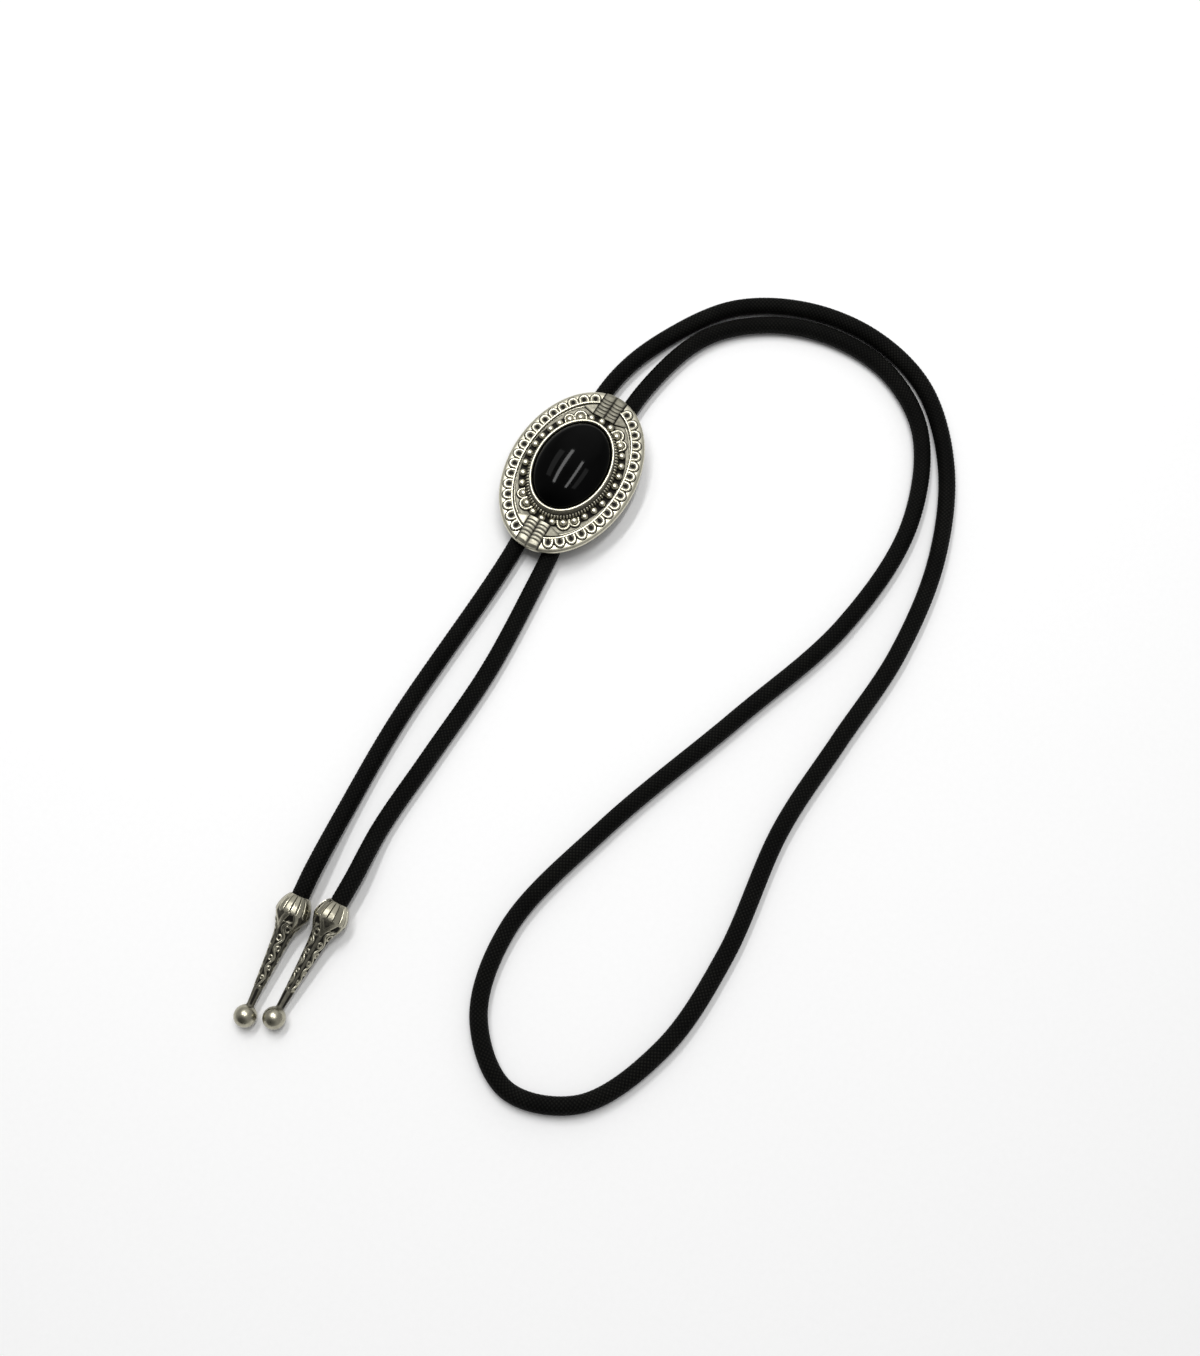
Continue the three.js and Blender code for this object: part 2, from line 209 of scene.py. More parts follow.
class SlideSettings(bpy.types.PropertyGroup):
    """Ornament and colours of the cast slide"""

    scallops: IntProperty(
        name="Scallops a side", description="Wire scallops on each long side", default=17, min=3
    )
    beads: IntProperty(name="Beads", description="Beads round the stone", default=30, min=6)
    grains: IntProperty(
        name="Grains", description="Milled grains at the foot of the stone's wall", default=96, min=12
    )
    wire: size_setting("Wire", "Width of the scallops' wire", 0.0006)
    bead_radius: size_setting("Bead radius", "Half the width of a bead", 0.001)
    # Between these two colours the shine sets patina and polish, and on some pieces painted light and shade
    bright: colour_setting("Bright metal", "Colour of the polished places", (0.60, 0.575, 0.46))
    dark: colour_setting("Dark metal", "Colour of the blackened recesses", (0.012, 0.0105, 0.008))


class StoneSettings(bpy.types.PropertyGroup):
    """Shape and colour of the stone"""

    width: size_setting("Width", "Width of the stone", 0.0192)
    length: size_setting("Length", "Length of the stone", 0.0266)
    colour: colour_setting("Colour", "Colour of the stone", (0.0006, 0.0006, 0.0006))


class ClaspSettings(bpy.types.PropertyGroup):
    """Colour of the clasp"""

    colour: colour_setting("Colour", "Colour of the clasp's metal", (0.5, 0.49, 0.46))


class TipSettings(bpy.types.PropertyGroup):
    """Shape and colours of the cast tips"""

    flutes: IntProperty(name="Flutes", description="Flutes round the collar", default=16, min=6)
    panels: IntProperty(name="Panels", description="Relief panels round the shaft", default=4, min=2)
    flute_depth: size_setting("Flute depth", "Depth of a flute", 0.0003)
    bright: colour_setting("Bright metal", "Colour of the polished places", (0.42, 0.4, 0.315))
    dark: colour_setting("Dark metal", "Colour of the blackened recesses", (0.009, 0.008, 0.006))


class StageSettings(bpy.types.PropertyGroup):
    """Floor, lights and camera"""

    floor: colour_setting("Floor", "Colour of the floor", (0.95, 0.95, 0.95))
    room_light: FloatProperty(
        name="Room light", description="Strength of the even light", default=0.43, min=0
    )
    window_light: FloatProperty(
        name="Window light", description="Brightness of the window high in the room", default=0.45, min=0
    )
    strip_light: FloatProperty(
        name="Strip lights", description="Brightness of the two strip lights overhead", default=25.0, min=0
    )
    soft_light: FloatProperty(
        name="Soft lights", description="Brightness of the wider soft lights", default=2.4, min=0
    )
    lens: FloatProperty(
        name="Lens", description="The camera's focal length", default=40.0, unit="CAMERA"
    )


# Helpers for meshes


def new_object(name, mesh):
    """Put a mesh in the scene as an object at the origin."""
    piece = bpy.data.objects.new(name, mesh)
    bpy.context.scene.collection.objects.link(piece)
    return piece


def skin(name, rings, sharp=None):
    """A closed mesh through rings of (x, y, z, shine) in millimetres; a ring of one point is a pole."""
    points = [point for ring in rings for point in ring]
    faces = []
    start = 0
    for lower, upper in zip(rings, rings[1:]):
        after = start + len(lower)
        size = max(len(lower), len(upper))
        for i in range(size):
            j = (i + 1) % size
            if len(lower) == 1:
                faces.append((start, after + j, after + i))
            elif len(upper) == 1:
                faces.append((start + i, start + j, after))
            else:
                faces.append((start + i, start + j, after + j, after + i))
        start = after
    if len(rings[0]) > 1:
        faces.append(tuple(reversed(range(len(rings[0])))))
    if len(rings[-1]) > 1:
        faces.append(tuple(range(start, start + len(rings[-1]))))
    mesh = bpy.data.meshes.new(name)
    mesh.from_pydata([(x * MM, y * MM, z * MM) for x, y, z, _ in points], [], faces)
    shine = mesh.attributes.new("shine", "FLOAT", "POINT")
    shine.data.foreach_set("value", [point[3] for point in points])
    face_outwards(mesh)
    mesh.shade_smooth()
    if sharp:
        mesh.set_sharp_from_angle(angle=math.radians(sharp))
    return mesh


def face_outwards(mesh):
    """Turn a closed mesh's faces outwards."""
    work = bmesh.new()
    work.from_mesh(mesh)
    bmesh.ops.recalc_face_normals(work, faces=work.faces)
    work.to_mesh(mesh)
    work.free()


def join(name, pieces):
    """Join pieces into the first one."""
    first = pieces[0]
    with bpy.context.temp_override(
        active_object=first, object=first, selected_objects=pieces, selected_editable_objects=pieces
    ):
        bpy.ops.object.join()
    first.name = name
    first.data.name = name
    return first


def oval_ring(oval, height, shine, sides):
    """A ring of points round an oval, starting at +X."""
    across, along = oval
    return [
        (across * math.cos(turn), along * math.sin(turn), height, shine)
        for turn in (2 * math.pi * i / sides for i in range(sides))
    ]


def grow(oval, by):
    """An oval larger all round by some millimetres."""
    return (oval[0] + by, oval[1] + by)


def between(one, other, share):
    """An oval between two others."""
    return tuple(a + (b - a) * share for a, b in zip(one, other))


def smooth_step(low, high, value):
    """Rise smoothly from 0 at low to 1 at high."""
    share = min(1.0, max(0.0, (value - low) / (high - low)))
    return share * share * (3 - 2 * share)


def table_value(table, place):
    """Read a table of (place, value) rows along a smooth line."""
    last = len(table) - 1
    row = 0
    while row < last - 1 and place > table[row + 1][0]:
        row += 1
    (x0, y0), (x1, y1) = table[row], table[row + 1]
    before = table[max(row - 1, 0)]
    after = table[min(row + 2, last)]
    slope0 = (y1 - before[1]) / (x1 - before[0])
    slope1 = (after[1] - y0) / (after[0] - x0)
    width = x1 - x0
    t = min(1.0, max(0.0, (place - x0) / width))
    return (
        (2 * t**3 - 3 * t**2 + 1) * y0
        + (t**3 - 2 * t**2 + t) * slope0 * width
        + (3 * t**2 - 2 * t**3) * y1
        + (t**3 - t**2) * slope1 * width
    )


def smooth_route(points, step):
    """Points about step apart on the centripetal curve through the given points."""
    knots = [Vector(point) for point in points]
    line = []
    for i in range(len(knots) - 1):
        here, there = knots[i], knots[i + 1]
        before = knots[i - 1] if i else 2 * here - there
        after = knots[i + 2] if i + 2 < len(knots) else 2 * there - here
        span0 = (here - before).length ** 0.5
        span1 = (there - here).length ** 0.5
        span2 = (after - there).length ** 0.5
        leave = (here - before) / span0 - (there - before) / (span0 + span1) + (there - here) / span1
        reach = (there - here) / span1 - (after - here) / (span1 + span2) + (after - there) / span2
        leave, reach = leave * span1, reach * span1
        count = max(2, round((there - here).length / step))
        for k in range(count):
            t = k / count
            line.append(
                here
                + leave * t
                + (3 * (there - here) - 2 * leave - reach) * t**2
                + (2 * (here - there) + leave + reach) * t**3
            )
    line.append(knots[-1])
    return line


def polyline(name, points):
    """An object of edges through points, for a tree to build on."""
    mesh = bpy.data.meshes.new(name)
    mesh.from_pydata(points, [(i, i + 1) for i in range(len(points) - 1)], [])
    return new_object(name, mesh)


def line_length(points):
    """The length of a line through points."""
    return sum((there - here).length for here, there in zip(points, points[1:]))


def oval_line(oval, steps=720):
    """Points round an oval in metres, from its top end by +X and back to the top."""
    across, along = oval
    return [
        (across * MM * math.sin(turn), along * MM * math.cos(turn), 0.0)
        for turn in (2 * math.pi * i / steps for i in range(steps + 1))
    ]


# Helpers for node trees


def add_node(tree, kind, settings=None, inputs=None):
    """Add a node; an input is another node's socket or a plain value."""
    node = tree.nodes.new(kind)
    for name, value in (settings or {}).items():
        setattr(node, name, value)
    for key, value in (inputs or {}).items():
        if isinstance(value, bpy.types.NodeSocket):
            tree.links.new(value, node.inputs[key])
        else:
            node.inputs[key].default_value = value
    return node


def calculate(tree, operation, *values):
    """A math node's result; it works in shader and geometry trees."""
    return add_node(tree, "ShaderNodeMath", {"operation": operation}, dict(enumerate(values))).outputs[0]


def choose(tree, top, one, other):
    """One value where top is 1 and the other where it is 0."""
    return calculate(
        tree,
        "ADD",
        calculate(tree, "MULTIPLY", top, one),
        calculate(tree, "MULTIPLY", calculate(tree, "SUBTRACT", 1.0, top), other),
    )


def new_tree(name, sockets):
    """A geometry tree with named inputs and one geometry output."""
    tree = bpy.data.node_groups.new(name, "GeometryNodeTree")
    for label, kind in sockets:
        tree.interface.new_socket(label, in_out="INPUT", socket_type=kind)
    tree.interface.new_socket("Geometry", in_out="OUTPUT", socket_type="NodeSocketGeometry")
    return tree, tree.nodes.new("NodeGroupInput").outputs


def finish_tree(tree, geometry, material):
    """End a tree in Realize Instances and Set Material."""
    real = add_node(tree, "GeometryNodeRealizeInstances", inputs={"Geometry": geometry})
    dressed = add_node(
        tree, "GeometryNodeSetMaterial", inputs={"Geometry": real.outputs[0], "Material": material}
    )
    add_node(tree, "NodeGroupOutput", inputs={"Geometry": dressed.outputs[0]})


def build_with(piece, tree, values):
    """Run a tree on a piece and keep the result as its plain mesh."""
    modifier = piece.modifiers.new(tree.name, "NODES")
    modifier.node_group = tree
    for item in tree.interface.items_tree:
        if item.in_out == "INPUT" and item.name in values:
            modifier[item.identifier] = values[item.name]
    graph = bpy.context.evaluated_depsgraph_get()
    mesh = bpy.data.meshes.new_from_object(piece.evaluated_get(graph), depsgraph=graph)
    piece.modifiers.remove(modifier)
    piece.data = mesh
    return piece


def braid_pattern(tree, round_place, long_place):
    """A point's place across each strand of the braid, the strands' height and which one is on top."""
    one = calculate(tree, "ADD", round_place, long_place)
    other = calculate(tree, "SUBTRACT", round_place, long_place)
    one_wave = calculate(tree, "SINE", calculate(tree, "MULTIPLY", one, math.pi))
    other_wave = calculate(tree, "SINE", calculate(tree, "MULTIPLY", other, math.pi))
    top = calculate(tree, "GREATER_THAN", calculate(tree, "MULTIPLY", one_wave, other_wave), 0.0)
    sizes = [calculate(tree, "ABSOLUTE", wave) for wave in (one_wave, other_wave)]

    # Each strand is round across its width and sinks at its crossings
    crowns = []
    for width, run in (sizes, sizes[::-1]):
        rounded = calculate(tree, "POWER", width, 0.45)
        sunk = calculate(tree, "POWER", run, 0.8)
        crowns.append(calculate(tree, "MULTIPLY", rounded, sunk))
    height = choose(tree, top, *crowns)
    return one, other, height, top


def braid_tree():
    """A round braid along a line of edges, with its pattern's place kept as a UV map."""
    tree, given = new_tree(
        "Round braid",
        [
            ("Route", "NodeSocketGeometry"),
            ("Diameter", "NodeSocketFloat"),
            ("Strands", "NodeSocketInt"),
            ("Pick", "NodeSocketFloat"),
            ("Relief", "NodeSocketFloat"),
            ("Material", "NodeSocketMaterial"),
        ],
    )
    line = add_node(tree, "GeometryNodeMeshToCurve", inputs={"Mesh": given["Route"]})
    step = calculate(tree, "DIVIDE", given["Pick"], 3.0)
    even = add_node(
        tree, "GeometryNodeResampleCurve", {"mode": "LENGTH"}, {"Curve": line.outputs[0], "Length": step}
    )
    along = add_node(tree, "GeometryNodeSplineParameter")
    marked = tree.nodes.new("GeometryNodeCaptureAttribute")
    marked.capture_items.new("FLOAT", "along")
    tree.links.new(even.outputs[0], marked.inputs["Geometry"])
    tree.links.new(along.outputs["Length"], marked.inputs["along"])
    sides = calculate(tree, "MULTIPLY_ADD", given["Strands"], 3.0, 1.0)
    radius = calculate(tree, "MULTIPLY", given["Diameter"], 0.5)
    section = add_node(
        tree,
        "GeometryNodeCurveArc",
        {"mode": "RADIUS"},
        {"Resolution": sides, "Radius": radius, "Sweep Angle": 2 * math.pi},
    )
    turn = add_node(tree, "GeometryNodeSplineParameter")
    marked_section = tree.nodes.new("GeometryNodeCaptureAttribute")
    marked_section.capture_items.new("FLOAT", "turn")
    tree.links.new(section.outputs["Curve"], marked_section.inputs["Geometry"])
    tree.links.new(turn.outputs["Factor"], marked_section.inputs["turn"])
    tube = add_node(
        tree,
        "GeometryNodeCurveToMesh",
        inputs={"Curve": marked.outputs["Geometry"], "Profile Curve": marked_section.outputs["Geometry"]},
    )
    round_place = calculate(tree, "MULTIPLY", marked_section.outputs["turn"], given["Strands"])
    long_place = calculate(tree, "DIVIDE", marked.outputs["along"], given["Pick"])
    height = braid_pattern(tree, round_place, long_place)[2]
    lift = calculate(tree, "MULTIPLY", calculate(tree, "SUBTRACT", height, 0.7), given["Relief"])
    outwards = add_node(tree, "GeometryNodeInputNormal")
    offset = add_node(
        tree, "ShaderNodeVectorMath", {"operation": "SCALE"}, {0: outwards.outputs[0], "Scale": lift}
    )
    place = add_node(tree, "ShaderNodeCombineXYZ", inputs={"X": round_place, "Y": long_place})
    mapped = add_node(
        tree,
        "GeometryNodeStoreNamedAttribute",
        {"data_type": "FLOAT2", "domain": "CORNER"},
        {"Geometry": tube.outputs[0], "Name": "UVMap", "Value": place.outputs[0]},
    )
    raised = add_node(
        tree,
        "GeometryNodeSetPosition",
        inputs={"Geometry": mapped.outputs[0], "Offset": offset.outputs[0]},
    )
    seam = 0.00001
    closed = add_node(
        tree, "GeometryNodeMergeByDistance", inputs={"Geometry": raised.outputs[0], "Distance": seam}
    )
    finish_tree(tree, closed.outputs[0], given["Material"])
    return tree


def casting_row_tree():
    """Castings in an even row on a stretch of a line of edges, each with its +Y outwards."""
    tree, given = new_tree(
        "Row of castings",
        [
            ("Line", "NodeSocketGeometry"),
            ("Casting", "NodeSocketObject"),
            ("Count", "NodeSocketInt"),
            ("Start", "NodeSocketFloat"),
            ("End", "NodeSocketFloat"),
            ("Material", "NodeSocketMaterial"),
        ],
    )
    line = add_node(tree, "GeometryNodeMeshToCurve", inputs={"Mesh": given["Line"]})
    index = add_node(tree, "GeometryNodeInputIndex")
    step = calculate(tree, "DIVIDE", calculate(tree, "ADD", index.outputs[0], 0.5), given["Count"])
    stretch = calculate(tree, "SUBTRACT", given["End"], given["Start"])
    share = calculate(tree, "MULTIPLY_ADD", step, stretch, given["Start"])
    sample = add_node(
        tree,
        "GeometryNodeSampleCurve",
        {"mode": "FACTOR", "use_all_curves": True},
        {"Curves": line.outputs[0], "Factor": share},
    )
    places = add_node(
        tree, "GeometryNodePoints", inputs={"Count": given["Count"], "Position": sample.outputs["Position"]}
    )
    turned = add_node(
        tree,
        "FunctionNodeAlignRotationToVector",
        {"axis": "X", "pivot_axis": "Z"},
        {"Vector": sample.outputs["Tangent"]},
    )
    casting = add_node(tree, "GeometryNodeObjectInfo", inputs={"Object": given["Casting"]})
    row = add_node(
        tree,
        "GeometryNodeInstanceOnPoints",
        inputs={
            "Points": places.outputs[0],
            "Instance": casting.outputs["Geometry"],
            "Rotation": turned.outputs[0],
        },
    )
    finish_tree(tree, row.outputs[0], given["Material"])
    return tree


# Materials


def new_material(name):
    """A material with an empty tree, its shader and its object coordinates."""
    material = bpy.data.materials.new(name)
    material.use_nodes = True
    tree = material.node_tree
    shader = next(node for node in tree.nodes if node.type == "BSDF_PRINCIPLED")
    place = add_node(tree, "ShaderNodeTexCoord").outputs["Object"]
    return material, tree, shader, place


def noise(tree, place, scale, detail=4.0, roughness=0.55):
    """Noise of a size given per metre."""
    return add_node(
        tree,
        "ShaderNodeTexNoise",
        inputs={"Vector": place, "Scale": scale, "Detail": detail, "Roughness": roughness},
    ).outputs["Fac"]


def ramp(tree, value, stops):
    """A colour ramp's colour; each stop is (place, colour)."""
    node = add_node(tree, "ShaderNodeValToRGB", inputs={"Fac": value})
    elements = node.color_ramp.elements
    while len(elements) < len(stops):
        elements.new(0.5)
    for element, (place, colour) in zip(elements, stops):
        element.position = place
        element.color = (*colour, 1.0)
    return node.outputs["Color"]


def spread(tree, value, low, high, to_low, to_high):
    """Map a value from one range to another."""
    return add_node(
        tree,
        "ShaderNodeMapRange",
        inputs={"Value": value, "From Min": low, "From Max": high, "To Min": to_low, "To Max": to_high},
    ).outputs["Result"]


def bump(tree, height, strength, distance, normal=None):
    """A bump node's normal."""
    inputs = {"Height": height, "Strength": strength, "Distance": distance}
    if normal is not None:
        inputs["Normal"] = normal
    return add_node(tree, "ShaderNodeBump", inputs=inputs).outputs["Normal"]


def antiqued_metal(name, bright, dark, polished_roughness):
    """Cast metal, blackened in its recesses and polished where the attribute shine is high; on some pieces
    that shine also holds painted light and painted shade.
    """
    material, tree, shader, place = new_material(name)
    shine = add_node(tree, "ShaderNodeAttribute", {"attribute_name": "shine"}).outputs["Fac"]
    stain = noise(tree, place, 1100.0)
    # Shine plus random stains: patina and polish, and on some pieces painted light and painted shade
    wear_and_painted_light = calculate(tree, "ADD", shine, spread(tree, stain, 0.3, 0.7, -0.07, 0.07))
    middle = tuple(0.42 * b + 0.58 * d for b, d in zip(bright, dark))
    colour = ramp(tree, wear_and_painted_light, [(0.08, dark), (0.42, middle), (0.8, bright)])
    tree.links.new(colour, shader.inputs["Base Color"])
    tree.links.new(spread(tree, wear_and_painted_light, 0.0, 0.6, 0.0, 1.0), shader.inputs["Metallic"])
    shader.inputs["Specular IOR Level"].default_value = 0.14
    smear = spread(tree, noise(tree, place, 420.0), 0.3, 0.7, -0.05, 0.07)
    rough = calculate(tree, "ADD", spread(tree, wear_and_painted_light, 0.1, 0.9, 0.68, polished_roughness), smear)
    tree.links.new(rough, shader.inputs["Roughness"])
    grain = bump(tree, noise(tree, place, 3000.0), 0.1, 0.00004)
    cast = bump(tree, noise(tree, place, 500.0, 2.0), 0.14, 0.0001, grain)
    tree.links.new(cast, shader.inputs["Normal"])
    return material


def satin_metal(name, colour):
    """Plain metal with fine brushing along X."""
    material, tree, shader, place = new_material(name)
    stretch = add_node(tree, "ShaderNodeMapping", inputs={"Vector": place, "Scale": (0.06, 1.0, 1.0)})
    lines = noise(tree, stretch.outputs[0], 5200.0, 3.0)
    tone = spread(tree, noise(tree, place, 260.0), 0.3, 0.7, 0.0, 1.0)
    shade = tuple(0.8 * c for c in colour)
    tree.links.new(ramp(tree, tone, [(0.1, shade), (0.9, colour)]), shader.inputs["Base Color"])
    shader.inputs["Metallic"].default_value = 1.0
    tree.links.new(spread(tree, lines, 0.3, 0.7, 0.3, 0.44), shader.inputs["Roughness"])
    tree.links.new(bump(tree, lines, 0.2, 0.00003), shader.inputs["Normal"])
    return material


def polished_stone(name, colour):
    """Opaque black stone with a high gloss and faint clouding."""
    material, tree, shader, place = new_material(name)
    cloud = noise(tree, place, 180.0, 6.0)
    paler = tuple(2.0 * c for c in colour)
    tree.links.new(ramp(tree, cloud, [(0.35, colour), (0.75, paler)]), shader.inputs["Base Color"])
    smear = spread(tree, noise(tree, place, 900.0), 0.3, 0.8, 0.05, 0.085)
    tree.links.new(smear, shader.inputs["Roughness"])
    shader.inputs["Specular IOR Level"].default_value = 0.06
    return material


def braided_yarn(name, yarn, lit_yarn):
    """Black yarn whose filaments run along each strand of the braid, with a painted highlight on each
    strand's crown and painted shade where the strands sink.
    """
    material, tree, shader, place = new_material(name)
    spot = add_node(tree, "ShaderNodeUVMap", {"uv_map": "UVMap"})
    parts = add_node(tree, "ShaderNodeSeparateXYZ", inputs={"Vector": spot.outputs[0]})
    one, other, height, top = braid_pattern(tree, parts.outputs["X"], parts.outputs["Y"])
    across = choose(tree, top, one, other)
    filament = calculate(tree, "SINE", calculate(tree, "MULTIPLY", across, 10 * math.pi))
    fuzz = noise(tree, place, 5200.0)
    patch = noise(tree, place, 90.0, 2.0)
    # The strands' height paints light on their crowns and shade where they sink; the filaments and noise
    # are the yarn's own marks
    tone = calculate(tree, "MULTIPLY_ADD", filament, 0.12, calculate(tree, "MULTIPLY", height, 0.7))
    tone = calculate(tree, "ADD", tone, spread(tree, fuzz, 0.3, 0.7, -0.14, 0.14))
    tone = calculate(tree, "ADD", tone, spread(tree, patch, 0.3, 0.7, -0.08, 0.08))
    painted_shade_yarn = tuple(0.3 * c for c in yarn)
    colour = ramp(tree, tone, [(0.12, painted_shade_yarn), (0.45, yarn), (0.95, lit_yarn)])
    tree.links.new(colour, shader.inputs["Base Color"])
    tree.links.new(spread(tree, tone, 0.0, 1.0, 0.7, 0.45), shader.inputs["Roughness"])
    shader.inputs["Specular IOR Level"].default_value = 0.06
    thread = calculate(tree, "MULTIPLY_ADD", filament, 0.35, calculate(tree, "MULTIPLY", height, 2.0))
    woven = bump(tree, thread, 0.6, 0.00008)
    tree.links.new(bump(tree, fuzz, 0.3, 0.00005, woven), shader.inputs["Normal"])
    return material


def pale_floor(name, colour):
    """Matt pale paper."""
    material, tree, shader, place = new_material(name)
    grain = noise(tree, place, 700.0)
    shade = tuple(0.985 * c for c in colour)
    tree.links.new(ramp(tree, grain, [(0.3, shade), (0.7, colour)]), shader.inputs["Base Color"])
    shader.inputs["Roughness"].default_value = 0.95
    shader.inputs["Specular IOR Level"].default_value = 0.1
    return material


# The slide's castings, each drawn round its own origin in millimetres


def wire_arch(name, half_width, depth, height, wire, hole, foot=1.0, leg=-0.1, slope=0.0):
    """A round wire bent into a U, open towards -Y, with a dark line round it.

    Inside it the metal slopes down to a small dark hole, narrower at the open end by the share foot.
    Its legs start at leg, and the whole arch falls by slope towards its crown.
    """
    middle = half_width - wire / 2
    arc_place = depth - half_width
    turns = 14

    # Along the wire: x, y, the way out in x and y, and the hole's half width
    stations = [
        (-middle, leg, -1.0, 0.0, foot * hole),
        (-middle, 0.2, -1.0, 0.0, (0.4 + 0.6 * foot) * hole),
        (-middle, 0.5, -1.0, 0.0, hole),
    ]
    for i in range(turns + 1):
        turn = math.pi * (1 - i / turns)
        x, y = math.cos(turn), math.sin(turn)
        stations.append((middle * x, arc_place + middle * y, x, y, hole))
    stations += [(middle, y, 1.0, 0.0, hole_here) for _, y, _, _, hole_here in reversed(stations[:3])]

    half = wire / 2
    outline = 0.25
    foot_depth = -0.48
    floor = 0.03
    rings = []
    for x, y, out_x, out_y, hole_here in stations:
        edge = hole_here - middle

        # Across the wire: outwards, up and shine
        section = [
            (half + outline, foot_depth, 0.0),
            (half + outline, floor, 0.1),
            (half + 0.03, floor, 0.0),
            (half, 0.35 * height, 0.5),
            (half * 0.8, 0.78 * height, 0.95),
            (half * 0.3, 0.98 * height, 1.0),
            (-half * 0.4, 0.98 * height, 1.0),
            (-half, 0.84 * height, 0.8),
            ((edge - half) / 2, 0.66 * height, 0.45),
            (edge - 0.08, 0.45 * height, 0.35),
            (edge, 0.25 * height, 0.05),
            (edge + 0.04, floor, 0.0),
            (-middle, floor, 0.0),
            (-middle, foot_depth, 0.0),
        ]
        ring = []
        for out, z, shine in section:
            place = y + out_y * out
            ring.append((x + out_x * out, place, z - slope * place, shine))
        rings.append(ring)
    return skin(name, rings, sharp=50)


def bead_dome(name, radius):
    """A round bead with a flattened crown, on a short stem."""
    sides = 20
    rows_up = 8
    crown_height = 0.85 * radius

    # Radius, height and shine
    rows = [(0.9 * radius, -0.75, 0.0), (0.97 * radius, -0.3, 0.05)]
    for i in range(rows_up):
        turn = math.pi / 2 * i / rows_up
        reach = radius * math.cos(turn) ** 0.8
        rows.append((reach, crown_height * math.sin(turn), smooth_step(-0.1, 0.45, i / rows_up)))
    rings = [oval_ring((reach, reach), z, shine, sides) for reach, z, shine in rows]
    rings.append([(0.0, 0.0, crown_height, 1.0)])
    return skin(name, rings)


def milled_grain(name, width):
    """A rounded grain that climbs the shoulder at the foot of the stone's wall."""
    # From its foot up: y, height and shine
    path = [
        (0.12, 0.03, 0.0),
        (0.06, 0.3, 0.3),
        (-0.05, 0.75, 0.8),
        (-0.3, 1.08, 1.0),
        (-0.62, 1.22, 1.0),
        (-0.92, 1.2, 0.4),
    ]

    # Across it: place as a share of its width, y, height and share of the shine
    section = [(-0.5, -0.18, -0.3, 0.0), (-0.36, 0.0, 0.0, 0.5), (0.0, 0.09, 0.13, 1.0)]
    section += [(-across, back, up, lit) for across, back, up, lit in reversed(section[:2])]
    rings = [
        [(across * width, y + back, z + up, lit * shine) for across, back, up, lit in section]
        for y, z, shine in path
    ]
    return skin(name, rings, sharp=60)


